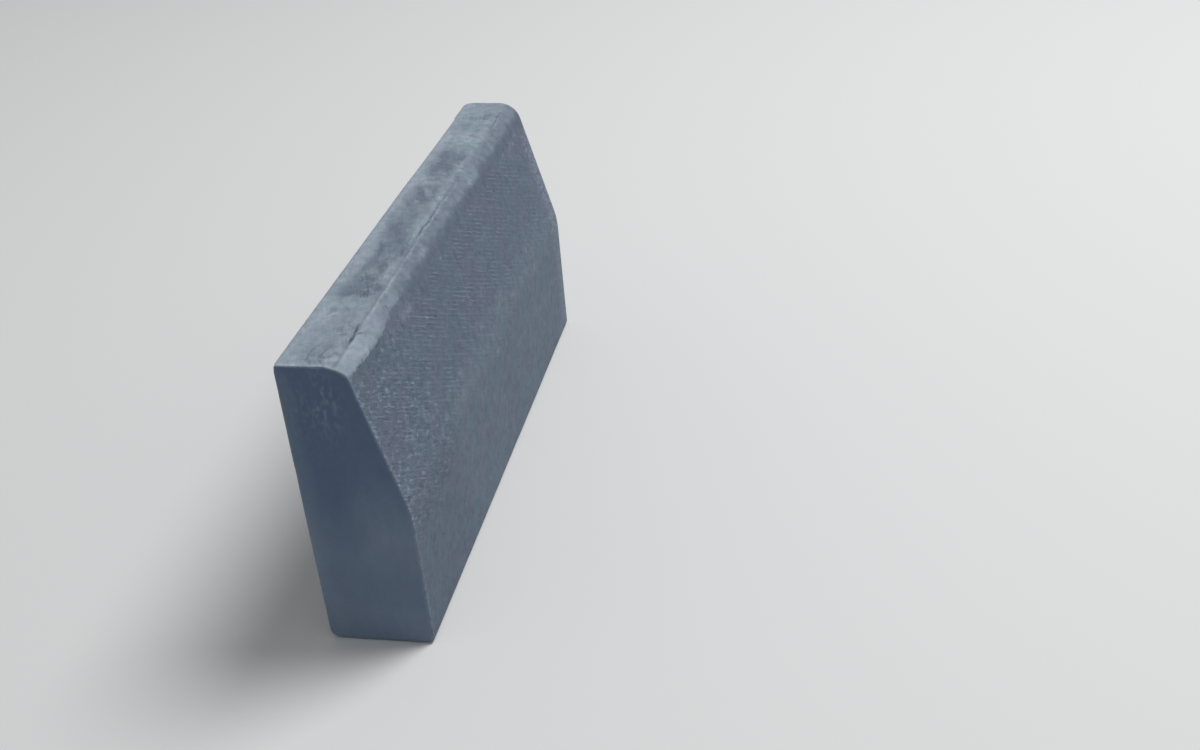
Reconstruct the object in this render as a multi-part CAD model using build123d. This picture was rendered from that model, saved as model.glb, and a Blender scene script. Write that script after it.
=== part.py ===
from build123d import *

import os

# Precast concrete kerb stone: flat top, battered face, upright foot, cast in one piece
# Millimetres: X from the back to the road side, Y along the kerb line, Z up from the bed

# Overall size of the stone
stone_length = 600.0
stone_height = 300.0
foot_width = 100.0

# Batter: the road face leans back by this much between the knee and the top
batter_setback = 38.0
knee_height = 150.0

# Radii of the mould, seen in the end of the stone
nose_radius = 25.0
knee_radius = 110.0
back_arris_radius = 3.0
bed_back_radius = 10.0
bed_front_radius = 4.0

# Radius left along all edges of both end faces by the end plates
end_arris_radius = 2.0

# Places across the stone, from the bed's centre
back_x = -foot_width / 2
foot_x = foot_width / 2
nose_x = foot_x - batter_setback
bed_z = 0.0

# Sharp corners of the end profile, each with the radius that rounds it
bed_back = (back_x, bed_z)
bed_front = (foot_x, bed_z)
knee = (foot_x, knee_height)
nose = (nose_x, stone_height)
back_top = (back_x, stone_height)
corner_radii = {
    bed_back: bed_back_radius,
    bed_front: bed_front_radius,
    knee: knee_radius,
    nose: nose_radius,
    back_top: back_arris_radius,
}


# Sections stand on the plane of the near end face and are drawn towards the far end
near_end = Plane.XZ.offset(stone_length / 2)

with BuildPart() as stone:
    # One closed profile, each corner rounded so that its arc meets both faces tangentially
    with BuildSketch(near_end) as end_profile:
        with BuildLine():
            Polyline(*corner_radii, close=True)
        make_face()
        for corner, radius in corner_radii.items():
            fillet(end_profile.vertices().sort_by_distance(corner)[0], radius)
    extrude(amount=-stone_length)

    # The small arris runs round each end in one chain, over the nose and the knee too
    end_faces = stone.faces().filter_by(Axis.Y)
    fillet(end_faces.edges(), end_arris_radius)

kerb_stone = stone.part
kerb_stone.label = "kerb_stone"

os.makedirs("parts", exist_ok=True)
export_step(kerb_stone, "parts/kerb_stone.step")
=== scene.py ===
# Concrete kerb stone: one cast surface with its mould seam, cloth-marked batter and worn arrises
import math
import bpy
import numpy as np
from mathutils import Matrix, Vector


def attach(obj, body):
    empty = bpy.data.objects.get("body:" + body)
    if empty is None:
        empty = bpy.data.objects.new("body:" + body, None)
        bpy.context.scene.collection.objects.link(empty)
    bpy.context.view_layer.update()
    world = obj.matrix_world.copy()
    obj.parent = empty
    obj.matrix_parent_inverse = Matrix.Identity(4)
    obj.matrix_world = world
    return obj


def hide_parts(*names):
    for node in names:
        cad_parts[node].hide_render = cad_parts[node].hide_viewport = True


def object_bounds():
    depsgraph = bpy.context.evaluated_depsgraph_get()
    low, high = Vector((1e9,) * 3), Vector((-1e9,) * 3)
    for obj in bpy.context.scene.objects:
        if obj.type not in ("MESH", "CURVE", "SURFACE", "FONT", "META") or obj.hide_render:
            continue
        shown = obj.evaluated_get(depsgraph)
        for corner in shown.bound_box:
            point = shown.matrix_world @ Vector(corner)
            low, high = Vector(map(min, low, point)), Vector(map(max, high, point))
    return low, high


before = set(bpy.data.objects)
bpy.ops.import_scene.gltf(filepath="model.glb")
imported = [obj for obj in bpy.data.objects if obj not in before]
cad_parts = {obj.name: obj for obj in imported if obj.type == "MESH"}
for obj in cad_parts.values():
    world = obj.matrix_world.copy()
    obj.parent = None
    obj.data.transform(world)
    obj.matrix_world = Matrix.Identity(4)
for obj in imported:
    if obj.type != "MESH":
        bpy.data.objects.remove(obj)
cadBox = [list(corner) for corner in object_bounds()]
stoneLow, stoneHigh = np.array(cadBox[0]), np.array(cadBox[1])
stoneLength = stoneHigh[1] - stoneLow[1]
mm = 0.001

# sizes of the end profile, the same ones that the solid is drawn from
profileSizes = {
    "batterSetback": 38 * mm,
    "kneeHeight": 150 * mm,
    "noseRadius": 25 * mm,
    "kneeRadius": 110 * mm,
    "backArrisRadius": 3 * mm,
    "bedBackRadius": 10 * mm,
    "bedFrontRadius": 4 * mm,
}

# how the cast skin is divided into a grid; the finest cells lie at the nose and the near end
skinGrid = {
    "sideCells": 120,       # up the back, and down the batter and foot
    "capCells": 46,         # across the top with its nose, and across the bed
    "lengthRows": 254,
    "arrisRows": 4,
    "nearArris": 1.8 * mm,
    "farArris": 2.6 * mm,
}

# relief and stains in mm, placed by their distance along the stone from the near end
# and across it from the back arris, over the nose and down the batter
skinMarks = {
    "baseDrop": 0.36,       # the skin lies this deep inside the solid before its relief
    "heave": 0.20,          # slow unevenness of the cast faces
    "fineHeave": 0.07,
    "pasteThickness": 1.2,
    "seamDepth": 0.35, "ridgeRise": 0.30,
    "gashAlong": 60, "gashHalfLength": 18, "gashDepth": 2.0,    # torn stretch of the seam
    "lipLength": 51, "lipRise": 0.9, "lipCrease": 0.7,  # last stretch of the top, which stands a little proud
    "swell": 1.5, "swellReach": 9.5, "swellShare": 0.29,    # the nose is fuller by the near end
    "swellStart": 45, "swellEnd": 110,
    "clothDrop": 30,        # the cloth hung this much lower by the near end
}

# wear in mm: how far it reaches in from an arris, and how much is gone there at most
stoneWear = {
    "nearReach": 3.0, "nearLoss": 0.15,
    "farReach": 6.0, "farLoss": 0.6,
    "backReach": 4.5, "bedReach": 5.0,
    "mostLoss": 2.2,
    "nearCornerReach": 8, "nearCornerLoss": 1.5,    # where the top meets the back
    "farCornerReach": 12, "farCornerLoss": 2.2,
}

# where the mould seam runs across the stone, how open it is there, and how proud the ridge below it:
# along, across, openness, ridge
seamRun = (
    (0, 53, 0, 0.2), (38, 52.6, 0.05, 0.2), (46, 52.4, 0.75, 0.15), (73, 51.4, 0.85, 0.15), (80, 51.6, 0.2, 0.55),
    (95, 51.7, 0.12, 0.9), (150, 51.6, 0.12, 1), (200, 51.2, 0.15, 0.85), (236, 50.8, 0.6, 0.9), (262, 50.8, 0.9, 1),
    (285, 50.8, 0.85, 1), (302, 50.9, 0.55, 0.8), (325, 50.9, 0.2, 0.75), (342, 51.2, 0.12, 0.55),
    (390, 51.5, 0.06, 0.25), (430, 51.6, 0.02, 0.05), (520, 51.6, 0.02, 0.05), (532, 51.4, 0.45, 0.45),
    (570, 51, 0.45, 0.35), (580, 51, 0.12, 0.15), (600, 51, 0.1, 0.1),
)

# cement paste that ran over the nose: along, lower border across, strength
pasteRun = (
    (0, 66, 0.5), (6, 66.9, 0.82), (15, 69.5, 1), (50, 71.5, 1), (60, 73, 0.9), (68, 73.5, 0.66), (86, 73, 0.56),
    (97, 70.6, 0.52), (112, 69.4, 0.46), (128, 68, 0.42), (148, 67, 0.24), (160, 66, 0.12), (205, 65.5, 0.1),
    (222, 66.5, 0.16), (240, 65.8, 0.08), (300, 66, 0.1), (378, 66, 0.14), (390, 69, 0.34), (420, 69, 0.3),
    (430, 66.5, 0.08), (480, 67, 0.12), (540, 67.5, 0.12), (600, 66, 0.15),
)

# dusky water mark along the top: along, middle across, half width, strength
duskRun = (
    (118, 23, 16, 0), (125, 22, 19, 0.84), (138, 22, 19, 0.86), (150, 25, 14, 0.9), (165, 28, 14, 0.54),
    (190, 34, 14, 0.68), (222, 34, 14, 0.8), (250, 28, 13, 0.85), (285, 26, 13, 0.8), (303, 25, 12, 0.62),
    (316, 25, 11, 0.5), (329, 25, 13, 0.74), (346, 25, 13, 0.68), (358, 28, 12, 0.56), (367, 33, 10, 0.2),
    (390, 31, 14, 0.6), (415, 27, 13, 0.8), (440, 28, 14, 0.8), (454, 27, 12, 0.25), (466, 27, 12, 0),
    (505, 13, 9, 0), (526, 13, 10, 0.48), (542, 14, 10, 0.16), (556, 14, 9, 0),
)

# patches that the mark leaves pale, and smaller dusky patches beside it:
# along, across, half length, half width, strength
duskGaps = (
    (200, 15, 16, 7, 0.9), (262, 45, 26, 4, 0.4), (372, 16, 9, 6, 0.5), (132, 33, 13, 4, 0.45), (298, 33, 16, 4, 0.5),
    (418, 40, 18, 5, 0.45),
)
duskPatches = (
    (20, 32, 17, 9, 0.34), (70, 40, 30, 8, 0.16), (134, 47, 14, 4, 1), (131, 42, 9, 4, 0.4), (131, 20, 10, 6, 0.65),
    (302, 42, 16, 4, 0.45), (338, 43, 12, 4, 0.3), (345, 54, 34, 4, 0.4), (384, 50, 17, 5, 0.45),
    (452, 14, 14, 12, 0.34), (456, 38, 12, 5, 0.25), (555, 41, 13, 7, 0.36),
)

# patches of fine trowel whorls on the top: along, across, half length, half width, strength
whorlPatches = (
    (10, 34, 9, 9, 0.6), (26, 38, 14, 10, 0.7), (62, 40, 12, 6, 0.5), (104, 36, 9, 6, 0.5), (130, 37, 15, 8, 1),
    (152, 24, 12, 8, 0.5), (200, 41, 16, 8, 0.4), (228, 46, 18, 5, 0.6), (268, 42, 20, 6, 0.5), (318, 22, 14, 8, 0.6),
    (352, 28, 12, 9, 0.7), (398, 34, 16, 12, 0.8), (432, 26, 16, 12, 0.8), (404, 50, 22, 5, 0.6),
    (455, 52, 12, 4, 0.5), (552, 51, 22, 4, 0.8),
)

# where the cloth marked the batter most: along, across, half length, half width, strength
imprintPatches = (
    (177, 118, 22, 12, 1), (240, 130, 18, 12, 0.8), (126, 136, 24, 13, 0.7), (76, 136, 26, 18, 0.7),
    (170, 175, 24, 14, 0.6), (10, 190, 16, 14, 0.7), (46, 210, 14, 18, 0.6), (232, 163, 24, 12, 0.3),
    (343, 154, 20, 14, 1), (276, 140, 30, 16, 0.7), (293, 96, 22, 13, 1), (346, 102, 24, 14, 1),
    (408, 130, 24, 12, 0.7), (394, 174, 14, 9, 0.7), (305, 230, 16, 12, 0.7), (525, 168, 18, 16, 0.6),
    (440, 92, 42, 12, 0.6), (505, 110, 26, 14, 0.5), (224, 90, 14, 7, 0.9), (165, 100, 40, 10, 0.5),
    (30, 112, 28, 20, 0.6), (60, 165, 40, 20, 0.4),
)

# dark strokes of torn and rubbed cement, and painted shade in pits and under the paste's lower border: along, across,
# half length, half width, turn, strength
darkStrokes = (
    (7.5, 30, 6.5, 1.9, -30, 0.58), (20, 25.8, 8.5, 1.7, -5, 0.58), (33.5, 28.5, 5.5, 1.7, 28, 0.4),
    (17.5, 33, 4.5, 1.6, 75, 0.42), (8.5, 39.5, 5, 1.6, -32, 0.42), (33.5, 36.5, 4.2, 1.6, 62, 0.36),
    (18, 44.5, 3.4, 1.6, 35, 0.3), (29, 43, 4.2, 1.5, -28, 0.28), (42, 47, 4, 1.4, -30, 0.24),
    (50, 52.4, 6.5, 1.1, 3, 1), (67, 51, 9.5, 1, -5, 0.9), (53.5, 43.5, 1.7, 3.4, 0, 0.5), (66, 45, 7, 1.1, -16, 0.4),
    (116.6, 63.4, 1.2, 2.9, 0, 0.75), (130, 32.2, 4, 1, -18, 0.42), (121, 35.6, 4.2, 1.1, -22, 0.5),
    (134, 38.2, 5.2, 1.2, -16, 0.62), (121, 42, 3.8, 1.1, -12, 0.6), (142, 34.6, 4, 0.9, -22, 0.45),
    (145, 43, 4.6, 0.8, -14, 0.45), (159, 43.6, 5.4, 0.9, -8, 0.55), (182, 40.6, 4.4, 0.8, -24, 0.35),
    (96, 33, 5, 0.8, -24, 0.3), (104, 26, 5, 0.8, -28, 0.25), (86, 43, 6, 0.8, -14, 0.25),
    (421, 41, 7, 1.1, -22, 0.5), (404, 35, 8, 0.9, -26, 0.35), (438, 44, 5, 0.9, -16, 0.4),
    (448, 30, 6, 1, -20, 0.35), (330, 42, 7, 0.8, -24, 0.3), (553, 36, 8.5, 2, -4, 0.46),
    (549, 51.8, 14, 0.7, -2, 0.35), (190, 118, 3.6, 1.2, 32, 0.55), (123, 88.5, 3, 0.9, 32, 0.45),
    (72, 115.5, 3.2, 1, 32, 0.55), (129, 139.5, 3.4, 0.9, 32, 0.45), (439, 99.5, 3.4, 1.3, 18, 0.6),
    (449, 182.5, 3.8, 1.1, 24, 0.6), (342, 128, 2.2, 1.1, 30, 0.5), (520, 125, 7, 0.9, 22, 0.35),
    (16, 70.5, 5, 0.9, 8, 0.35), (38, 73.2, 9, 1.1, 5, 0.4), (66, 75.6, 8, 1.1, 0, 0.4), (140, 70.5, 8, 1.3, 10, 0.3),
    (162, 73.5, 6, 1.3, 28, 0.3), (344, 68.5, 7, 1.3, 12, 0.3),
)

# small pale marks, some of them painted glints in the trowel whorls and at a pit: along, across, half length, half
# width, strength
paleMarksAndGlints = (
    (33, 103, 4, 2.5, 0.7), (65, 124, 5, 2.2, 0.8), (47, 162, 5, 2.5, 0.6), (58, 167, 6, 3, 0.6),
    (95, 165, 4, 2.5, 0.6), (101, 173, 3, 2, 0.6), (145, 180, 5, 2.5, 0.5), (190, 184, 7, 2.5, 0.6),
    (178, 201, 5, 3, 0.4), (150, 212, 9, 1.8, 0.9), (130, 195, 5, 3, 0.4), (12, 190, 5, 5, 0.4),
    (42, 218, 4, 6, 0.35), (298, 223, 6, 2.2, 0.7), (276, 180, 6, 4, 0.35), (268, 172, 4, 3, 0.35),
    (312, 157, 6, 4, 0.45), (368, 119, 7, 3, 0.5), (318, 105, 4, 2.5, 0.45), (398, 173, 7, 3, 0.5),
    (500, 83, 5, 2, 0.6), (536, 95, 7, 2, 0.45), (462, 187, 6, 5, 0.35), (568, 215, 6, 2.5, 0.6),
    (575, 200, 6, 6, 0.3), (538, 42, 6, 3.5, 1.5), (573, 32, 6, 6, 0.35), (470, 215, 12, 5, 0.25),
    (240, 235, 14, 4, 0.3), (392, 66, 7, 3.5, 0.6), (340, 190, 14, 6, 0.25), (148, 82, 9, 4, 0.45),
    (119.4, 62.8, 2.2, 1.6, 1.1), (222, 64, 7, 4, 0.4), (236, 65, 4, 4, 0.3), (168, 46, 22, 3, 0.7),
    (158, 54.5, 30, 2.6, 0.5), (262, 47.5, 26, 2, 0.35), (330, 47, 14, 2, 0.8), (17, 51, 14, 2.2, 0.7),
    (130, 83, 18, 8, 0.45), (540, 86, 24, 8, 0.32), (28, 60, 18, 4, 0.3), (356, 44, 8, 2, 0.4), (410, 48, 10, 2, 0.3),
    (132, 35.4, 5, 1, 0.6), (24, 39.5, 2.8, 1.5, 0.9), (11.5, 43.5, 3.4, 1.3, 0.5), (29, 48.5, 3.5, 1.3, 0.7),
    (14, 36, 2.6, 1.3, 0.5), (90, 18, 16, 7, 1.25), (20, 11, 14, 8, 0.22), (92, 51, 12, 3, 0.28),
    (490, 35, 16, 14, 0.9), (379, 20, 11, 7, 0.6), (94, 84, 14, 8, 0.18),
)

# pits: along, across, radius, depth
pits = (
    (118, 63, 2.6, 0.7), (190, 119, 2.2, 0.7), (129, 139, 2.2, 0.6), (439, 99, 3, 0.8), (342, 128, 1.9, 0.7),
    (449, 183, 3.4, 0.7), (46, 178, 1.8, 0.7), (274, 110, 1.8, 0.7), (336, 109, 1.8, 0.6), (557, 39, 4.6, 0.8),
    (80, 153, 1.6, 0.5), (63, 142, 1.8, 0.5), (541, 98, 2.6, 0.5),
)

# speckled patches of the near end face: from the back, above the bed, half width, half height, strength
endSpecks = ((38, 262, 15, 30, 1.2), (12, 255, 9, 40, 0.35), (39, 25, 4, 1.6, 0.9), (66, 150, 14, 22, 0.25))

latticeSide = 64    # knots a side, after which a noise repeats


# Noise: a seeded lattice of values, blended between the eight knots round a point with eased weights; -1 to 1
def softNoise(points, cell, seed):
    knots = np.random.default_rng(seed).uniform(-1, 1, (latticeSide,) * 3)
    place = points / cell + 512.0
    low = np.floor(place).astype(int)
    part = place - low
    part = part * part * (3 - 2 * part)
    total = np.zeros(points.shape[:-1])
    for dx in (0, 1):
        for dy in (0, 1):
            for dz in (0, 1):
                step = np.array([dx, dy, dz])
                knot = (low + step) % latticeSide
                weight = np.abs(1 - step - part).prod(axis=-1)
                total += weight * knots[knot[..., 0], knot[..., 1], knot[..., 2]]
    return total


# Layered noise: each layer has half the cell and half the height of the one before
def layeredNoise(points, cell, seed, layers):
    return sum(softNoise(points, cell / 2 ** k, seed + k) / 2 ** k for k in range(layers)) / 1.6


# Patches: the sum over the rows of strength times a bell along the stone times a bell across it
def patchSum(along, across, patches):
    return sum(strength * bell(along, a * mm, halfLength * mm) * bell(across, c * mm, halfWidth * mm)
               for a, c, halfLength, halfWidth, strength in patches)


# Ease: 0 below low, 1 above high, and three t squared less two t cubed between
def ease(value, low, high):
    t = np.clip((value - low) / (high - low), 0, 1)
    return t * t * (3 - 2 * t)


# Bell: e to the minus square of the distance from the middle, counted in half widths
def bell(value, middle, halfWidth):
    return np.exp(-((value - middle) / halfWidth) ** 2)


# Run: each column of a table, joined by straight lines over its first column
def alongRun(along, run):
    table = np.array(run, float).T
    return [np.interp(along, table[0] * mm, column) for column in table[1:]]


# Noise that only changes along the stone
def lineNoise(along, cell, seed):
    return softNoise(np.stack([along, 0 * along, 0 * along], -1), cell * mm, seed)


# End profile: straight runs between corners, each corner an arc tangent to both runs;
# gives a fine table of path length, x, z and the outward direction, clockwise from the middle of the bed
def profileTable(sizes):
    backX, footX, topZ = stoneLow[0], stoneHigh[0], stoneHigh[2]
    corners = np.array([
        (backX, 0.0), (backX, topZ), (footX - sizes["batterSetback"], topZ),
        (footX, sizes["kneeHeight"]), (footX, 0.0)])
    radii = [sizes["bedBackRadius"], sizes["backArrisRadius"], sizes["noseRadius"],
             sizes["kneeRadius"], sizes["bedFrontRadius"]]
    middle = np.array([[0.0, 0.0]])
    line, facing, arcEnds = [middle], [np.array([[0.0, -1.0]])], []
    arcPoints = 48
    for k, corner in enumerate(corners):
        before = corners[k - 1] if k else middle[0]
        after = corners[k + 1] if k + 1 < len(corners) else middle[0]
        inWay = (corner - before) / np.linalg.norm(corner - before)
        outWay = (after - corner) / np.linalg.norm(after - corner)
        turn = math.acos(np.clip(inWay @ outWay, -1, 1))
        inNormal = np.array([-inWay[1], inWay[0]])
        centre = corner - inWay * radii[k] * math.tan(turn / 2) - inNormal * radii[k]
        angle = math.atan2(inNormal[1], inNormal[0]) - np.linspace(0, turn, arcPoints)
        ring = np.stack([np.cos(angle), np.sin(angle)], -1)
        line.append(centre + radii[k] * ring)
        facing.append(ring)
        arcEnds.append((1 + k * arcPoints, k * arcPoints + arcPoints))
    line = np.concatenate(line + [middle])
    facing = np.concatenate(facing + [np.array([[0.0, -1.0]])])
    path = np.concatenate([[0.0], np.cumsum(np.linalg.norm(np.diff(line, axis=0), axis=1))])
    return path, line, facing, [(path[a], path[b]) for a, b in arcEnds]


# Spacing: places between start and end whose density is one plus a bell at each focus
def spacedPlaces(start, end, cells, focuses=(), gain=0.0, width=1.0):
    fine = np.linspace(start, end, 4001)
    density = np.ones_like(fine)
    for focus in focuses:
        density += gain * bell(fine, focus, width)
    grown = np.concatenate([[0.0], np.cumsum((density[1:] + density[:-1]) / 2)])
    return np.interp(np.linspace(0, grown[-1], cells + 1), grown, fine)


# Coons patch: the blend of two opposite borders plus the blend of the other two, less the blend of the corners
def coonsPatch(left, top, right, bottom):
    v = np.linspace(0, 1, len(left))[None, :, None]
    u = np.linspace(0, 1, len(top))[:, None, None]
    across = (1 - v) * bottom[:, None] + v * top[:, None]
    upward = (1 - u) * left[None] + u * right[None]
    corners = (1 - u) * ((1 - v) * left[0] + v * left[-1]) + u * ((1 - v) * right[0] + v * right[-1])
    return across + upward - corners


# Cast skin: the profile carried along the kerb line, drawn in by a quarter round at each end,
# and closed there by a Coons patch between the four sides of the last ring
def castSkin(sizes, grid):
    path, line, facing, arcs = profileTable(sizes)
    bedBack, backTop, nose, _, bedFront = arcs
    lowBack, highBack = sum(bedBack) / 2, sum(backTop) / 2
    pastNose, lowFoot = nose[1] + 4 * mm, sum(bedFront) / 2
    fullRound = lowBack + path[-1]
    sides, caps = grid["sideCells"], grid["capCells"]
    ringPlace = np.concatenate([
        spacedPlaces(lowBack, highBack, sides, (lowBack, highBack), 1.5, 20 * mm)[:-1],
        spacedPlaces(highBack, pastNose, caps, (backTop[1] + 50 * mm,), 1.6, 16 * mm)[:-1],
        spacedPlaces(pastNose, lowFoot, sides, (pastNose,), 1.2, 40 * mm)[:-1],
        spacedPlaces(lowFoot, fullRound, caps, (lowFoot, fullRound), 1.0, 12 * mm)[:-1],
    ])
    wrapped = ringPlace % path[-1]
    ring = np.stack([np.interp(wrapped, path, line[:, k]) for k in (0, 1)], -1)
    out = np.stack([np.interp(wrapped, path, facing[:, k]) for k in (0, 1)], -1)
    out /= np.linalg.norm(out, axis=1, keepdims=True)

    rowsTilt = np.linspace(math.pi / 2, 0, grid["arrisRows"] + 1)
    lengthShare = spacedPlaces(0, 1, grid["lengthRows"], (0.0, 0.12, 1.0), 0.6, 0.12)
    tilt = np.concatenate([rowsTilt[:-1], np.zeros(len(lengthShare)), rowsTilt[::-1][1:]])[:, None]
    share = np.concatenate([np.zeros(len(rowsTilt) - 1), lengthShare, np.ones(len(rowsTilt) - 1)])[:, None]
    isNear = share < 0.5
    radius = np.where(isNear, grid["nearArris"], grid["farArris"])
    endward = np.where(isNear, -1.0, 1.0)
    clearLength = stoneLength - grid["nearArris"] - grid["farArris"]
    y = stoneLow[1] + grid["nearArris"] + share * clearLength + endward * radius * np.sin(tilt)
    inset = radius * (1 - np.cos(tilt))
    x = ring[None, :, 0] - inset * out[None, :, 0]
    z = ring[None, :, 1] - inset * out[None, :, 1]
    points = np.stack([x, np.broadcast_to(y, x.shape), z], -1)
    normals = np.stack([np.cos(tilt) * out[None, :, 0], endward * np.sin(tilt) + 0 * x,
                        np.cos(tilt) * out[None, :, 1]], -1)
    across = np.broadcast_to(ringPlace - backTop[1] + sizes["backArrisRadius"], x.shape)
    endShare = np.broadcast_to(np.sin(tilt) ** 2, x.shape)
    toArris = np.broadcast_to(np.minimum(y - stoneLow[1], stoneHigh[1] - y), x.shape)

    rows, ringCount = x.shape
    numbers = np.arange(rows * ringCount).reshape(rows, ringCount)
    stepOn = np.roll(numbers, -1, axis=1)
    faces = [np.stack([numbers[:-1], stepOn[:-1], stepOn[1:], numbers[1:]], -1).reshape(-1, 4)]
    flat = points.reshape(-1, 3)
    skin = {"point": [flat], "normal": [normals.reshape(-1, 3)], "across": [across.ravel()],
            "endShare": [endShare.ravel()], "toArris": [toArris.ravel()]}
    used = rows * ringCount
    for row, way in ((0, -1.0), (rows - 1, 1.0)):
        order = numbers[row]
        left, top = order[:sides + 1], order[sides:sides + caps + 1]
        right = order[sides + caps:2 * sides + caps + 1][::-1]
        bottom = np.append(order[2 * sides + caps:], order[0])[::-1]
        patch = coonsPatch(flat[left], flat[top], flat[right], flat[bottom])
        index = np.zeros(patch.shape[:2], int)
        index[0], index[-1], index[:, 0], index[:, -1] = left, right, bottom, top
        inner = patch[1:-1, 1:-1].reshape(-1, 3)
        index[1:-1, 1:-1] = used + np.arange(len(inner)).reshape(patch.shape[0] - 2, -1)
        used += len(inner)
        quads = np.stack([index[:-1, :-1], index[1:, :-1], index[1:, 1:], index[:-1, 1:]], -1).reshape(-1, 4)
        faces.append(quads if way < 0 else quads[:, ::-1])
        gap = np.linalg.norm(inner[:, None, ::2] - line[None], axis=2).min(axis=1)
        for key, values in (("point", inner), ("normal", np.tile([0.0, way, 0.0], (len(inner), 1))),
                            ("across", np.full(len(inner), -1.0)), ("endShare", np.ones(len(inner))), ("toArris", gap)):
            skin[key].append(values)
    return {key: np.concatenate(values) for key, values in skin.items()}, np.concatenate(faces)


# Cement paste: full between the seam and a scalloped lower border, as strong as the run says
def pasteFilm(along, across):
    seam = alongRun(along, seamRun)[0]
    border, strength = alongRun(along, pasteRun)
    scallop = 1.3 * lineNoise(along, 11, 5) + 0.8 * lineNoise(along, 26, 7)
    border = (border + scallop * (0.5 + 0.7 * ease(along, 90 * mm, 150 * mm))) * mm
    body = ease(across, (seam - 2.0) * mm, (seam + 5.0) * mm) * (1 - ease(across, border - 2.0 * mm, border + 1.6 * mm))
    return body, strength, border


# Dusky mark on the top: a bell across it, its middle, width and strength from the run, its edges broken by noise
def topDusk(points, along, across):
    middle, half, strength = alongRun(along, duskRun)
    shaken = across + 6.0 * mm * layeredNoise(points * [1, 0.5, 1], 22 * mm, 61, 4)
    offset = np.abs(shaken / mm - middle) / (half * 1.25)
    dusk = (1 - ease(offset, 0.60, 1.15)) * strength
    ragged = layeredNoise(np.stack([along * 0.42, across + 0.35 * along, 0 * along], -1), 9 * mm, 71, 3)
    return np.clip(dusk * (1 + 0.75 * ragged) - 0.7 * patchSum(along, across, duskGaps) * dusk
                   + patchSum(along, across, duskPatches) * (1 + 0.9 * ragged)
                   + 0.16 * np.clip(ragged, 0, 1), 0, 1.3)


# Strokes: each point's place in the stroke nearest to it, in half lengths and half widths, and that stroke's
# strength; nearest by the distance to the stroke's middle line
def strokePlaces(along, across):
    places = []
    for a, c, halfLength, halfWidth, turn, strength in darkStrokes:
        turn, y, s = math.radians(turn), along - a * mm, across - c * mm
        onLine = y * math.cos(turn) + s * math.sin(turn)
        offLine = s * math.cos(turn) - y * math.sin(turn)
        reach = np.hypot(np.maximum(np.abs(onLine) - halfLength * mm, 0), offLine)
        places.append((reach, onLine / (halfLength * mm), offLine / (halfWidth * mm),
                       strength * (1 - ease(reach, 3.0 * mm, 5.0 * mm))))
    places = np.array(places)
    nearest = places[:, 0].argmin(axis=0)
    return np.stack([places[nearest, k, np.arange(len(along))] for k in (1, 2, 3)], -1)


# End face: pale low down, painted bounce light from the floor, and pale along the back edge, darker between; and the
# speckled patches of the near end
def endTones(points):
    x, z = points[:, 0] - stoneLow[0], points[:, 2]
    # paler low down, and more so by the bed: painted bounce light from the floor
    low = 1 - ease(z, 85 * mm, 215 * mm)
    roadSide = ease(x, 34 * mm, 66 * mm)
    pale = 0.56 * low + (0.40 * low + 0.14) * roadSide * bell(z, 135 * mm, 50 * mm) + 0.48 * bell(x, 0, 13 * mm)
    pale += 0.24 * (1 - ease(z, 8 * mm, 60 * mm)) - 0.20 * bell(z, 296 * mm, 9 * mm)
    pale -= 0.25 * bell(x, 28 * mm, 12 * mm) * ease(z, 90 * mm, 150 * mm)
    pale += 0.14 * layeredNoise(points, 46 * mm, 91, 3) + 0.10 * softNoise(points * [1, 1, 0.4], 7 * mm, 95)
    return np.clip(pale, 0, 1), np.clip(patchSum(x, z, endSpecks), 0, 1) * (points[:, 1] < 0)


# Relief in mm along the outward direction: slow heave, paste, gash, pits, the proud lip and its crease
def castRelief(points, along, across, endShare, paste):
    marks = skinMarks
    relief = marks["heave"] * layeredNoise(points, 60 * mm, 11, 2) - marks["baseDrop"]
    relief += marks["fineHeave"] * softNoise(points, 11 * mm, 14)
    relief += marks["pasteThickness"] * paste * (0.8 + 0.35 * softNoise(points, 8 * mm, 21))
    seam, openness, ridge = alongRun(along, seamRun)
    relief -= marks["seamDepth"] * openness * bell(across, seam * mm, 1.3 * mm)
    relief += marks["ridgeRise"] * ridge * bell(across, (seam + 2.6) * mm, 1.5 * mm)
    torn = ease(marks["gashHalfLength"] * mm - np.abs(along - marks["gashAlong"] * mm), 0, 9 * mm)
    torn *= 0.75 + 0.35 * lineNoise(along, 6, 37)
    relief -= marks["gashDepth"] * bell(across, (seam + 0.6) * mm, 1.8 * mm) * torn
    for a, c, radius, depth in pits:
        relief -= depth * bell(np.hypot(along - a * mm, across - c * mm), 0, radius * mm)

    lipStart = stoneLength - marks["lipLength"] * mm
    onTop = (1 - ease(across, 36 * mm, 50 * mm)) * ease(points[:, 2], 0.17, 0.25)
    beforeLip = 1 - ease(along, lipStart - 3 * mm, lipStart + 4 * mm)
    relief -= marks["lipRise"] * beforeLip * onTop * ease(along, 300 * mm, 480 * mm)
    relief -= marks["lipCrease"] * bell(along, lipStart - 1 * mm, 2.4 * mm) * onTop * ease(across, 2 * mm, 12 * mm)
    return relief * (1 - 0.6 * endShare)


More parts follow.
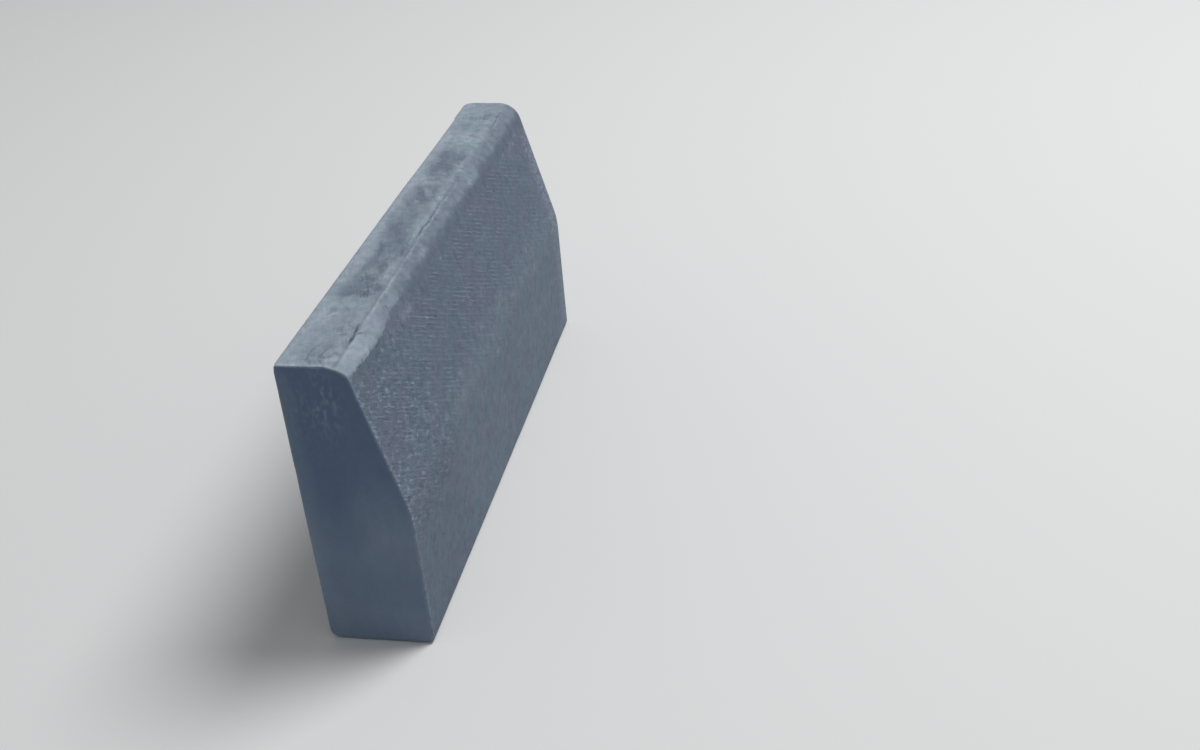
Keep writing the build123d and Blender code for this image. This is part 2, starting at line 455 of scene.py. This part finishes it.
# Swell of the nose by the near end: a push away from the centre of the nose arc, a bell round a spot on it,
# which lies at the given share of the arc from the batter
def noseSwell(points, along):
    radius = profileSizes["noseRadius"]
    lean = math.atan2(profileSizes["batterSetback"], stoneHigh[2] - profileSizes["kneeHeight"])
    turn = lean + skinMarks["swellShare"] * (math.pi / 2 - lean)
    away = np.array([math.cos(turn), 0.0, math.sin(turn)])
    flatEnd = stoneHigh[0] - profileSizes["batterSetback"] - radius * math.tan((math.pi / 2 - lean) / 2)
    middle = np.array([flatEnd, 0.0, stoneHigh[2] - radius]) + radius * away
    apart = np.linalg.norm((points - middle)[:, ::2], axis=1)
    fade = 1 - ease(along, skinMarks["swellStart"] * mm, skinMarks["swellEnd"] * mm)
    return (skinMarks["swell"] * mm * bell(apart, 0, skinMarks["swellReach"] * mm) * fade)[:, None] * away


# Nearness: 1 at an arris, falling in a straight line to 0 at its reach
def nearness(distance, reach):
    return np.clip(1 - distance / (reach * mm), 0, 1)


# Wear in mm: loss grows with the square of nearness to an arris, with chips where a noise peaks;
# and how much each arris is laid paler, partly wear and partly painted highlight, which falls off more slowly
def arrisWear(points, along, across, toArris, endShare):
    wear = stoneWear
    isFar = along > stoneLength / 2
    rough = 0.5 + 0.5 * softNoise(points, 9 * mm, 41)
    chip = ease(softNoise(points, 6.5 * mm, 43), 0.45, 0.8)
    endLoss = nearness(toArris, np.where(isFar, wear["farReach"], wear["nearReach"])) ** 2
    endLoss *= np.where(isFar, wear["farLoss"], wear["nearLoss"]) + 0.35 * rough + 0.7 * chip
    toBack = np.abs(across - 1.5 * mm)
    backLoss = nearness(toBack, wear["backReach"]) ** 2 * (0.05 + 0.25 * rough + 0.5 * chip)
    bedLoss = nearness(np.abs(points[:, 2]), wear["bedReach"]) ** 2 * (0.2 + 0.6 * rough + 0.8 * chip)
    loss = np.clip(endLoss + backLoss + bedLoss * (np.abs(points[:, 0]) > 38 * mm), 0, wear["mostLoss"])
    for y, name in ((stoneLow[1], "nearCorner"), (stoneHigh[1], "farCorner")):
        toCorner = np.linalg.norm(points - [stoneLow[0], y, stoneHigh[2]], axis=1)
        loss += nearness(toCorner, wear[name + "Reach"]) ** 1.5 * wear[name + "Loss"]

    # a paler band by the far end and pale lines along the arrises: partly wear, partly painted highlight
    farShine = 0.80 * (1 - ease(toArris, 12 * mm, 42 * mm)) * ease(across, 76 * mm, 104 * mm) * (1 - endShare)
    farShine += 0.55 * nearness(toArris, 5)
    nearShine = 0.6 * bell(toArris, 2.6 * mm, 3 * mm) * (1 - endShare) + 0.5 * nearness(toArris, 2.5) * endShare
    return loss, np.clip(np.where(isFar, farShine, nearShine) + 0.40 * nearness(toBack, 9), 0, 1)


# Stone: the cast skin moved outward by relief less wear, pushed out at the nose, and held inside the solid's box;
# what the material needs to know of each point goes with the mesh as attributes, most of them shares from 0 to 1
def buildStone():
    skin, faces = castSkin(profileSizes, skinGrid)
    points, across, endShare, toArris = skin["point"], skin["across"], skin["endShare"], skin["toArris"]
    along = points[:, 1] - stoneLow[1]
    body, strength, border = pasteFilm(along, across)
    relief = castRelief(points, along, across, endShare, body * strength)
    wear, shine = arrisWear(points, along, across, toArris, endShare)
    moved = points + skin["normal"] * ((relief - wear) * mm)[:, None] + noseSwell(points, along)
    moved = np.clip(moved, stoneLow, stoneHigh)

    onSkin = 1 - endShare
    seam, openness, ridge = alongRun(along, seamRun)
    plain = (1 - ease(ridge, 0.1, 0.6)) * ease(along, 340 * mm, 420 * mm)   # where no ridge marks the seam
    pitShade = sum(depth * bell(np.hypot(along - a * mm, across - c * mm), 0, radius * mm)
                   for a, c, radius, depth in pits)
    underShare = 0.75 + 0.35 * lineNoise(along, 30, 8) - 0.5 * bell(along, 118 * mm, 30 * mm)
    endPaleAndBounceLight, endSpeckled = endTones(points)
    clothDrop = skinMarks["clothDrop"] * mm * (1 - ease(along, 70 * mm, 190 * mm))
    clothed = 0.16 + 0.36 * (1 - ease(along, 70 * mm, 165 * mm)) + patchSum(along, across, imprintPatches)
    # a speckled pale band along the near top arris, brightest by the back corner: partly wear, partly painted highlight
    nearRim = (0.42 + 0.7 * bell(across, 9 * mm, 10 * mm)) * bell(toArris, 2.0 * mm, 3.6 * mm) * (along < 0.1)
    nearRim *= (1 - ease(across, 66 * mm, 74 * mm)) * ease(across, 0, 3 * mm)
    masks = {
        "imprint": np.clip(clothed, 0, 1.5),
        # the foot laid lighter: painted bounce light
        "footBounceLight": ease(across, 165 * mm, 212 * mm) * (0.25 + 0.75 * ease(along, 100 * mm, 200 * mm)) * onSkin,
        # end faces paler low down: painted bounce light
        "endPaleAndBounceLight": endPaleAndBounceLight,
        "endSpeckled": endSpeckled * endShare,
        "nearRim": nearRim * (1 - 0.8 * endShare),
        "pasteStrength": strength * onSkin,
        "belowSeam": ease(across, (seam - 3 * plain) * mm, (seam + 2.5 + 5 * plain) * mm) * onSkin,
        "borderOffset": (across - border) / mm,
        "topDusk": topDusk(points, along, across) * onSkin,
        "arrisShine": shine,
        "clothMark": ease(across, 70 * mm, 84 * mm) * (1 - ease(across - clothDrop, 190 * mm, 250 * mm)) * onSkin,
        "endFace": endShare,
        "topFace": (1 - ease(across, 47 * mm, 57 * mm)) * ease(across, -2 * mm, 1 * mm) * onSkin,
        # painted shade below the paste's lower border
        "underNoseShade": bell(across, border + 6.5 * mm, 5.5 * mm) * underShare * onSkin,
        "paleMarkAndGlint": patchSum(along, across, paleMarksAndGlints) * onSkin,
        "pitShade": pitShade * onSkin,
        "seamOpen": openness * onSkin,
        "seamRidge": ridge * onSkin,
        "whorl": np.clip(patchSum(along, across, whorlPatches), 0, 1) * onSkin,
    }
    mesh = bpy.data.meshes.new("kerbStoneSkin")
    mesh.from_pydata(moved.tolist(), [], faces.tolist())
    mesh.shade_smooth()
    for name, values in masks.items():
        mesh.attributes.new(name, "FLOAT", "POINT").data.foreach_set("value", values.astype(np.float32))
    place = np.stack([along, across, across - seam * mm], -1)
    for name, values in (("castPlace", place), ("strokePlace", strokePlaces(along, across))):
        layer = mesh.attributes.new(name, "FLOAT_VECTOR", "POINT")
        layer.data.foreach_set("vector", values.astype(np.float32).ravel())
    mesh.validate()
    mesh.update()
    stone = bpy.data.objects.new("kerbStoneSkin", mesh)
    bpy.context.scene.collection.objects.link(stone)
    print("stone skin:", len(points), "points,", 2 * len(faces), "triangles")
    return stone


# small helpers that add one node and join it up
class NodeDesk:
    def __init__(self, owner):
        owner.use_nodes = True
        self.tree = owner.node_tree
        self.tree.nodes.clear()

    def add(self, kind, settings=None, **inputs):
        node = self.tree.nodes.new(kind)
        for key, value in (settings or {}).items():
            setattr(node, key, value)
        for key, value in inputs.items():
            self.feed(node.inputs[key.replace("_", " ")], value)
        return node

    def feed(self, socket, value):
        if isinstance(value, bpy.types.NodeSocket):
            self.tree.links.new(value, socket)
        else:
            socket.default_value = value

    def maths(self, operation, first, second=0.0, third=0.0):
        node = self.tree.nodes.new("ShaderNodeMath")
        node.operation = operation
        for socket, value in zip(node.inputs, (first, second, third)):
            self.feed(socket, value)
        return node.outputs[0]

    def times(self, *values):
        total = values[0]
        for value in values[1:]:
            total = self.maths("MULTIPLY", total, value)
        return total

    # first times gain plus rest
    def plus(self, rest, first, gain):
        return self.maths("MULTIPLY_ADD", first, gain, rest)

    def blend(self, factor, first, second, way="MIX"):
        node = self.tree.nodes.new("ShaderNodeMix")
        node.data_type, node.blend_type = "RGBA", way
        node.clamp_factor = True
        for number, value in ((0, factor), (6, first), (7, second)):
            self.feed(node.inputs[number], value)
        return node.outputs[2]

    def between(self, factor, first, second):
        node = self.tree.nodes.new("ShaderNodeMix")
        for number, value in ((0, factor), (2, first), (3, second)):
            self.feed(node.inputs[number], value)
        return node.outputs[0]

    # a value that the mesh carries at each point
    def mark(self, name, output="Fac"):
        return self.add("ShaderNodeAttribute", {"attribute_name": name}).outputs[output]

    # value less a half, times the factors
    def centred(self, value, *factors):
        return self.times(self.maths("SUBTRACT", value, 0.5), *factors)

    def noise(self, vector, scale, detail=3.0, roughness=0.55, distortion=0.0):
        return self.add("ShaderNodeTexNoise", Vector=vector, Scale=scale, Detail=detail,
                        Roughness=roughness, Distortion=distortion).outputs["Fac"]

    # rises from 0 to 1 between low and high, eased
    def ramp(self, value, low, high):
        node = self.add("ShaderNodeMapRange", {"interpolation_type": "SMOOTHSTEP"}, Value=value)
        node.inputs["From Min"].default_value, node.inputs["From Max"].default_value = low, high
        return node.outputs[0]

    # a pattern's own axes: from its middle, turned by an angle on the surface, then counted in lengths and widths
    def turned(self, vector, degrees, length, width, third=1.0, middle=(0, 0)):
        node = self.add("ShaderNodeMapping", {"vector_type": "TEXTURE"}, Vector=vector)
        node.inputs["Location"].default_value = (*middle, 0)
        node.inputs["Rotation"].default_value = (0, 0, math.radians(degrees))
        node.inputs["Scale"].default_value = (length, width, third)
        return node.outputs[0]

    # a noise drawn out one way, from a row of drawnGrain
    def drawn(self, vector, degrees, length, width, *noiseKind):
        return self.noise(self.turned(vector, degrees, length * mm, width * mm), 1.0, *noiseKind)

    def length(self, vector):
        return self.vectorMaths("LENGTH", vector, None, "Value")

    def parts(self, vector):
        return self.add("ShaderNodeSeparateXYZ", Vector=vector).outputs

    def vectorMaths(self, operation, first, second=None, output="Vector"):
        node = self.add("ShaderNodeVectorMath", {"operation": operation})
        self.feed(node.inputs[0], first)
        if second is not None:
            self.feed(node.inputs["Scale" if operation == "SCALE" else 1], second)
        return node.outputs[output]


# tones of the cast concrete under plain light; several also carry painted light or shade, as said at each
stoneTones = {
    "cast": (0.131, 0.165, 0.221, 1),
    # foot: a lighter copy of the cast tone, painted bounce light
    "foot": (0.156, 0.198, 0.250, 1),
    "nose": (0.160, 0.195, 0.250, 1),
    "paste": (0.370, 0.432, 0.505, 1),
    # top: a lighter copy of the cast tone, painted light from above
    "top": (0.244, 0.300, 0.353, 1),
    "dusk": (0.136, 0.165, 0.222, 1),
    # end: a bluer copy of the cast tone, painted shade of the end faces
    "end": (0.113, 0.166, 0.260, 1),
    # pale tone of the end faces: painted bounce light low down, and the tone of their speckled patches
    "endPaleAndBounceLight": (0.200, 0.258, 0.348, 1),
    # pale tone of the arrises: partly wear, partly painted highlight
    "wornAndSheen": (0.300, 0.350, 0.420, 1),
    # speck: pale tone of sand specks and pale marks, also of painted glints and highlights
    "speck": (0.420, 0.470, 0.540, 1),
    # shade: painted shade below the paste's lower border
    "shade": (0.095, 0.122, 0.170, 1),
    # dark tone of the seam gap and of dark strokes, and painted shade in pits, pinholes and under the paste border
    "darkMarkAndShade": (0.050, 0.065, 0.090, 1),
    "warm": (1.032, 0.982, 1.0, 1),
    "cool": (0.968, 1.015, 0.998, 1),
}

# cloth that lined the batter side of the mould: two thread families, in cycles per metre along and across
clothWeave = {
    "firstThread": (-131.0, 191.0),
    "secondThread": (112.0, 191.0),
    "flattening": 40.0,         # how much the first family turns along the stone
    "streakTurn": 30.0,         # degrees
    "streakLength": 20 * mm,
    "streakWidth": 4.2 * mm,
    "depth": 0.44 * mm,
    "waver": 0.24 * mm,
}

# trowel whorls: contour lines of a slow noise, and rings round one rubbed spot by the near end
trowelWhorl = {"scale": 30.0, "rings": 8.5}
nearWhorl = {
    "along": 25 * mm,
    "across": 43 * mm,
    "pitch": 7.5 * mm,
    "stretch": 1.25,
    "waver": 26 * mm,
    "fadeStart": 40 * mm,
    "fadeEnd": 52 * mm,
}

# the torn triangle below the gash
tornPlace = {"along": 60.5 * mm, "across": 55.6 * mm, "halfLength": 3.4 * mm, "halfWidth": 1.9 * mm, "turn": 28}

# plain grain of the cast, from fine to slow: noise scale per metre, detail, roughness, distortion
castGrain = {
    "grain": (620, 3, 0.6),
    "sand": (240, 3, 0.6),
    "coarse": (110, 2, 0.55),
    "blotch": (34, 4, 0.6, 0.4),
    "slow": (9, 3, 0.55),
}

# grain drawn out one way: turn in degrees, length and width in mm, detail, roughness, distortion
drawnGrain = {
    "floated": (-21, 15, 2.4, 3, 0.65, 0.3),    # fine strokes of the float on the struck top
    "mottle": (-22, 14, 6, 4, 0.65, 0.6),       # what breaks up the dusky mark
    "drips": (20, 12, 10, 2, 0.5, 0.5),         # sagging lumps over the nose
    "smallDrips": (0, 8.5, 6, 1, 0.5, 0.4),
    "lumps": (12, 10, 5.2, 2, 0.5, 0.4),        # unevenness of the paste
    "sandRows": (32, 9, 5, 1, 0.5),             # rows of sand on the first stretch of the batter
}

# how much each pattern lightens the stone, over a plain tone
plainTone = 0.87
toneGains = {
    "grain": 0.09, "sand": 0.26, "blotch": 0.18, "slow": 0.10, "crust": 0.62, "weave": 0.30, "streak": 0.52,
    "fine": 0.24, "sandRows": 0.90, "whorls": 0.24, "floated": 0.38, "hung": 0.50, "rubbed": 0.56, "wipedEnd": 0.10,
}

# how far each pattern stands out, in mm
heightGains = {
    "streak": 0.50, "fine": 0.14, "grain": 0.03, "sand": 0.15, "crust": 0.60, "seamGap": -0.55, "seamRidge": 0.30,
    "hole": -0.6, "speck": 0.10, "nearSpeck": 0.08, "whorls": 0.34, "pasteLumps": 0.42, "floated": 0.42,
    "hung": 0.80, "strokes": -0.45,
}

ignoreThird = 1e6   # scale at which a pattern on the surface no longer reads the third axis


# Cloth: the sine of each thread family's phase, both wavering, broken up by streaks that run the same way
def clothPattern(desk, place):
    waver = desk.add("ShaderNodeTexNoise", Vector=place, Scale=30.0, Detail=2.0).outputs["Color"]
    waver = desk.vectorMaths("SCALE", desk.vectorMaths("SUBTRACT", waver, (0.5, 0.5, 0.5)), 4 * clothWeave["waver"])
    bent = desk.vectorMaths("ADD", place, waver)
    along = desk.parts(place)[0]
    flatten = desk.times(along, along, 2 * math.pi * clothWeave["flattening"])

    def phase(cycles):
        return desk.vectorMaths("DOT_PRODUCT", bent, (cycles[0] * 2 * math.pi, cycles[1] * 2 * math.pi, 0), "Value")

    def streaks(length, width, detail=2.0):
        return desk.noise(desk.turned(place, clothWeave["streakTurn"], length, width), 1.0, detail, 0.6)

    first = desk.maths("SINE", desk.maths("ADD", phase(clothWeave["firstThread"]), flatten))
    second = desk.maths("SINE", phase(clothWeave["secondThread"]))
    streak = streaks(clothWeave["streakLength"], clothWeave["streakWidth"])
    fine = streaks(clothWeave["streakLength"] / 2, clothWeave["streakWidth"] / 2)
    near = desk.ramp(along, 0.165, 0.075)
    broken = desk.between(near, 1.0, desk.ramp(streaks(8 * mm, 5.6 * mm, 1.0), 0.44, 0.60))
    imprint = desk.mark("imprint")
    lines = desk.times(first, desk.ramp(streak, 0.43, 0.60), imprint, broken)
    dots = desk.times(second, near, desk.ramp(streak, 0.6, 0.4), 0.16)
    return near, desk.plus(0.62, imprint, 0.48), streak, fine, desk.maths("ADD", lines, dots)


# Whorls: the sine of many times a slow noise, and near the end that of the distance from the rubbed spot
def whorlPattern(desk, place, along):
    middle = (nearWhorl["along"], nearWhorl["across"])
    slowField = desk.noise(place, trowelWhorl["scale"], 1.5, 0.5, 0.3)
    ringed = desk.length(desk.turned(place, 0, nearWhorl["stretch"], 1.0, ignoreThird, middle))
    ringed = desk.plus(ringed, desk.noise(place, 48.0, 2.0, 0.5), nearWhorl["waver"])
    whorls = desk.maths("SINE", desk.times(slowField, 2 * math.pi * trowelWhorl["rings"]))
    rings = desk.maths("SINE", desk.times(ringed, 2 * math.pi / nearWhorl["pitch"]))
    whorls = desk.between(desk.ramp(along, nearWhorl["fadeEnd"], nearWhorl["fadeStart"]), whorls, rings)
    return desk.times(whorls, desk.mark("whorl"), desk.ramp(desk.noise(place, 75.0, 2.0), 0.34, 0.54))


# Mould seam: a thin broken line where a shaken distance from the seam is nearly 0, and a pale ridge a little below it
def seamPattern(desk, place, fromSeam):
    offset = desk.plus(fromSeam, desk.centred(desk.noise(place, 55.0, 4.0, 0.6)), 6 * mm)
    gap = desk.times(desk.ramp(desk.maths("ABSOLUTE", offset), 1.1 * mm, 0.2 * mm), desk.mark("seamOpen"),
                     desk.ramp(desk.noise(place, 75.0, 3.0), 0.38, 0.54))
    fromRidge = desk.maths("ABSOLUTE", desk.maths("SUBTRACT", offset, 2.4 * mm))
    ridge = desk.times(desk.ramp(fromRidge, 2.0 * mm, 0.3 * mm), desk.mark("seamRidge"),
                       desk.ramp(desk.noise(place, 95.0, 3.0, 0.7), 0.38, 0.60))
    return gap, ridge


# Strokes: full inside an ellipse whose rim a noise frays, and the torn triangle in the same way
def strokePattern(desk, place):
    onStroke, offStroke, strength = desk.parts(desk.mark("strokePlace", "Vector"))
    reach = desk.maths("SQRT", desk.maths("MULTIPLY_ADD", onStroke, onStroke, desk.times(offStroke, offStroke)))
    frayed = desk.plus(0.55, desk.noise(place, 240.0, 2.0), 0.90)
    strokes = desk.times(desk.ramp(desk.times(reach, frayed), 1.25, 0.45), strength)
    torn = desk.turned(place, tornPlace["turn"], tornPlace["halfLength"], tornPlace["halfWidth"], ignoreThird,
                       (tornPlace["along"], tornPlace["across"]))
    return desk.maths("MAXIMUM", strokes, desk.ramp(desk.times(desk.length(torn), frayed), 1.3, 0.6))


# Cast concrete: tones laid one over the other where the marks and patterns say, times the plain tone plus
# each pattern's gain, over a height that is the sum of the same patterns
def castConcrete():
    material = bpy.data.materials.new("castConcrete")
    desk = NodeDesk(material)
    spot = desk.add("ShaderNodeTexCoord").outputs["Object"]
    place = desk.mark("castPlace", "Vector")
    along, across, fromSeam = desk.parts(place)
    strength, dusk, shine, cloth = (desk.mark(name) for name in ("pasteStrength", "topDusk", "arrisShine", "clothMark"))
    endFace, topFace, under, pale = (desk.mark(name) for name in ("endFace", "topFace", "underNoseShade", "paleMarkAndGlint"))
    near, lively, streak, fine, weave = clothPattern(desk, place)
    weave = desk.times(weave, cloth)
    streak = desk.centred(streak, cloth, lively)
    fine = desk.centred(fine, cloth, lively, desk.plus(0.6, near, 0.35))
    offEnd = desk.maths("SUBTRACT", 1.0, endFace)
    offCloth = desk.maths("SUBTRACT", offEnd, cloth)

    # grain and blotches, quieter on the steel-faced ends
    grain, sand, coarse, blotch, slow = (desk.noise(spot, *kind) for kind in castGrain.values())
    quiet = desk.plus(1.0, endFace, -0.62)
    grain, sand = desk.centred(grain, quiet), desk.centred(sand, quiet)
    crust, rubbed = desk.centred(coarse, offCloth), desk.centred(coarse, cloth)
    floated = desk.centred(desk.drawn(place, *drawnGrain["floated"]), topFace)
    drips = desk.drawn(place, *drawnGrain["drips"])

    # light specks of sand, thick on the first stretch, and pinholes left by air
    speckCells = desk.add("ShaderNodeTexVoronoi", Vector=spot, Scale=115.0).outputs["Distance"]
    speck = desk.times(desk.ramp(speckCells, 0.34, 0.10), desk.ramp(desk.noise(spot, 70.0, 1.0), 0.64, 0.74),
                       desk.plus(0.30, cloth, 0.70), offEnd)
    sandRows = desk.drawn(place, *drawnGrain["sandRows"])
    onNear = desk.times(desk.plus(0.12, near, 0.88), cloth, desk.ramp(blotch, 0.30, 0.58))
    nearSpeck = desk.times(desk.ramp(sandRows, 0.58, 0.78), onNear)
    sandRows = desk.centred(sandRows, onNear)
    holeCells = desk.add("ShaderNodeTexVoronoi", Vector=spot, Scale=62.0).outputs["Distance"]
    hole = desk.times(desk.ramp(holeCells, 0.100, 0.045), desk.ramp(desk.noise(spot, 41.0, 1.0), 0.59, 0.65),
                      desk.maths("SUBTRACT", 1.0, topFace))

    whorls = whorlPattern(desk, place, along)
    seamGap, seamRidge = seamPattern(desk, place, fromSeam)
    strokes = strokePattern(desk, place)

    # paste: from the seam down to a border that hangs in drips, sharp where it is thick and soft where it is thin
    fray = desk.plus(desk.mark("borderOffset"), desk.centred(drips), -11.0)
    fray = desk.plus(fray, desk.centred(desk.drawn(place, *drawnGrain["smallDrips"])), -2.6)
    soft = desk.plus(3.6, desk.ramp(along, 150 * mm, 80 * mm), -2.2)
    film = desk.times(desk.ramp(desk.maths("DIVIDE", fray, soft), 1.0, -1.0), desk.mark("belowSeam"))
    lumps = desk.drawn(place, *drawnGrain["lumps"])
    paste = desk.times(film, strength, desk.plus(0.45, blotch, 0.45), desk.plus(0.55, lumps, 0.85))
    hung = desk.centred(drips, desk.plus(film, under, 0.8))

    # colour: each tone laid over the one before by the product of its factors
    def lay(tone, *factors):
        return desk.blend(desk.times(*factors), colour, stoneTones[tone])

    mottle = desk.drawn(place, *drawnGrain["mottle"])
    colour = stoneTones["cast"]
    # painted bounce light on the foot
    colour = lay("foot", desk.mark("footBounceLight"))
    colour = lay("nose", film)
    # the top face laid lighter: painted light from above
    colour = lay("top", topFace)
    colour = lay("dusk", dusk, desk.plus(0.30, mottle, 1.35))
    colour = lay("paste", desk.ramp(across, 24 * mm, 3 * mm), topFace, desk.plus(0.05, mottle, 0.80))
    colour = lay("paste", paste)
    # painted shade below the paste's lower border
    colour = lay("shade", under, desk.plus(-0.12, coarse, 0.98), desk.plus(0.10, blotch, 1.6))
    # end faces: a bluer tone, painted shade, paler low down with painted bounce light from the floor
    endTone = desk.blend(desk.mark("endPaleAndBounceLight"), stoneTones["end"], stoneTones["endPaleAndBounceLight"])
    colour = desk.blend(endFace, colour, endTone)
    wiped = desk.noise(desk.turned(spot, 0, 3.6 * mm, 1.0, 6.6 * mm), 1.0, 1.0, 0.4)
    colour = lay("endPaleAndBounceLight", desk.mark("endSpeckled"), desk.ramp(wiped, 0.44, 0.78), 0.90)
    # arrises paler: partly wear, partly painted highlight
    colour = lay("wornAndSheen", shine, desk.ramp(sand, -0.14, 0.08), 0.60)
    # pale near rim: partly wear, partly painted highlight
    colour = lay("speck", desk.mark("nearRim"), desk.ramp(sand, -0.25, -0.02), 0.90)
    colour = lay("paste", seamRidge, 0.52)
    colour = lay("darkMarkAndShade", seamGap, 0.60)
    colour = lay("speck", speck, 0.30)
    colour = lay("speck", nearSpeck, 0.32)
    # pale marks, some of them painted glints
    colour = lay("speck", pale, desk.ramp(coarse, 0.30, 0.60), 0.50)
    # painted shade in pits and pinholes, and dark strokes, some of them painted shade
    colour = lay("darkMarkAndShade", desk.mark("pitShade"), 0.35)
    colour = lay("darkMarkAndShade", strokes, 0.55)
    colour = lay("darkMarkAndShade", hole, 0.65)

    # a slight turn of hue from patch to patch, strongest on the batter
    tint = desk.blend(desk.ramp(desk.noise(spot, 21.0, 2.0), 0.42, 0.58), stoneTones["warm"], stoneTones["cool"])
    tinted = desk.plus(desk.plus(desk.plus(1.0, topFace, -0.45), film, -0.5), endFace, -0.70)
    colour = desk.blend(tinted, colour, tint, "MULTIPLY")

    patterns = {
        "grain": grain, "sand": sand, "blotch": blotch, "slow": slow, "crust": crust, "rubbed": rubbed,
        "weave": weave, "streak": streak, "fine": fine, "sandRows": sandRows, "speck": speck, "nearSpeck": nearSpeck,
        "hole": hole, "whorls": whorls, "floated": floated, "hung": hung, "pasteLumps": desk.times(lumps, film),
        "seamGap": seamGap, "seamRidge": seamRidge, "strokes": strokes, "wipedEnd": desk.times(wiped, endFace),
    }
    tone = plainTone
    for name, gain in toneGains.items():
        tone = desk.plus(tone, patterns[name], gain)
    grey = desk.add("ShaderNodeCombineColor", Red=tone, Green=tone, Blue=tone).outputs[0]
    colour = desk.blend(1.0, colour, grey, "MULTIPLY")

    # struck faces dry and rough, steel-faced ends closer
    rough = desk.plus(desk.plus(0.84, sand, 0.16), endFace, -0.12)

    height = desk.times(weave, clothWeave["depth"] / 2)
    for name, gain in heightGains.items():
        height = desk.plus(height, patterns[name], gain * mm)
    bump = desk.add("ShaderNodeBump", Height=height, Strength=1.0, Distance=1.0)

    shader = desk.add("ShaderNodeBsdfPrincipled", Base_Color=colour, Roughness=rough, Normal=bump.outputs[0])
    shader.inputs["Specular IOR Level"].default_value = 0.35
    desk.feed(desk.add("ShaderNodeOutputMaterial").inputs["Surface"], shader.outputs[0])
    return material


# pale floor, and a plain pale world behind it
studio = {
    "floorHalf": 12.0,
    "floorSeen": (0.80, 0.80, 0.80, 1),
    "floorBounce": (0.46, 0.47, 0.49, 1),
    "worldSeen": (0.93, 0.93, 0.93, 1),
    "worldLight": (0.97, 0.99, 1.0, 1),
    "worldStrength": 0.30,
    "keyPlace": (2.05, 1.25, 4.65),
    "keySize": 2.6,
    "keyPower": 180.0,
}


# Seen: 1 where a camera, glossy or transmission ray looks, else 0
def seenDirectly(desk):
    rays = desk.add("ShaderNodeLightPath").outputs
    seen = desk.maths("ADD", rays["Is Camera Ray"], rays["Is Glossy Ray"])
    return desk.maths("MINIMUM", desk.maths("ADD", seen, rays["Is Transmission Ray"]), 1.0)


# Floor: one square at the height of the bed, pale where it is looked at and darker in what it sends to the stone
def layFloor():
    half = studio["floorHalf"]
    mesh = bpy.data.meshes.new("studioFloor")
    mesh.from_pydata([(-half, -half, 0), (half, -half, 0), (half, half, 0), (-half, half, 0)], [], [(0, 1, 2, 3)])
    floor = bpy.data.objects.new("studioFloor", mesh)
    bpy.context.scene.collection.objects.link(floor)
    material = bpy.data.materials.new("paleFloor")
    desk = NodeDesk(material)
    colour = desk.blend(seenDirectly(desk), studio["floorBounce"], studio["floorSeen"])
    shader = desk.add("ShaderNodeBsdfDiffuse", Color=colour)
    desk.feed(desk.add("ShaderNodeOutputMaterial").inputs["Surface"], shader.outputs[0])
    mesh.materials.append(material)


# Light: an even pale world and one round lamp, turned so that its axis meets the middle of the stone
def lightStudio():
    world = bpy.data.worlds.new("paleStudio")
    bpy.context.scene.world = world
    desk = NodeDesk(world)
    light = desk.add("ShaderNodeBackground", Color=studio["worldLight"], Strength=studio["worldStrength"])
    shown = desk.add("ShaderNodeBackground", Color=studio["worldSeen"], Strength=1.0)
    both = desk.tree.nodes.new("ShaderNodeMixShader")
    for number, value in enumerate((seenDirectly(desk), light.outputs[0], shown.outputs[0])):
        desk.feed(both.inputs[number], value)
    desk.feed(desk.add("ShaderNodeOutputWorld").inputs["Surface"], both.outputs[0])

    lamp = bpy.data.lights.new("keyLight", "AREA")
    lamp.shape, lamp.size, lamp.energy = "DISK", studio["keySize"], studio["keyPower"]
    key = bpy.data.objects.new("keyLight", lamp)
    key.location = studio["keyPlace"]
    aim = Vector((0, 0, stoneHigh[2] / 2)) - key.location
    key.rotation_euler = aim.to_track_quat("-Z", "Y").to_euler()
    bpy.context.scene.collection.objects.link(key)


# the photograph's camera, worked out from the stone's outline; heading is from +Y towards +X,
# and the picture is a crop, so its middle lies a little beside the camera's axis
cameraFit = {
    "place": (0.4547, -1.2469, 0.9046),
    "heading": -8.566,
    "downward": 30.000,
    "roll": -2.499,
    "focalPixels": 1417.5,
    "axisPixels": (700, 325),
    "imagePixels": (1200, 750),
}


# Camera: the ahead, right and up directions from heading and downward tilt, the last two turned by the roll
def placeCamera():
    heading, downward, roll = (math.radians(cameraFit[k]) for k in ("heading", "downward", "roll"))
    level = math.cos(downward)
    ahead = Vector((math.sin(heading) * level, math.cos(heading) * level, -math.sin(downward)))
    right = ahead.cross(Vector((0, 0, 1))).normalized()
    up = right.cross(ahead)
    rolledRight = math.cos(roll) * right + math.sin(roll) * up
    rolledUp = math.cos(roll) * up - math.sin(roll) * right
    camera = bpy.data.cameras.new("kerbCamera")
    wide, high = cameraFit["imagePixels"]
    camera.sensor_width = 36.0
    camera.lens = camera.sensor_width * cameraFit["focalPixels"] / wide
    camera.shift_x = (wide / 2 - cameraFit["axisPixels"][0]) / wide
    camera.shift_y = (cameraFit["axisPixels"][1] - high / 2) / wide
    camera.clip_start, camera.clip_end = 0.05, 60.0
    holder = bpy.data.objects.new("kerbCamera", camera)
    turn = Matrix((rolledRight, rolledUp, -ahead)).transposed()
    holder.matrix_world = Matrix.Translation(cameraFit["place"]) @ turn.to_4x4()
    bpy.context.scene.collection.objects.link(holder)
    bpy.context.scene.camera = holder


placeCamera()
lightStudio()
layFloor()
print("studio ready")

stone = buildStone()
stone.data.materials.append(castConcrete())
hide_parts("kerb_stone")
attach(stone, "root")
print("stone dressed")

bpy.context.scene.view_settings.view_transform = "Standard"
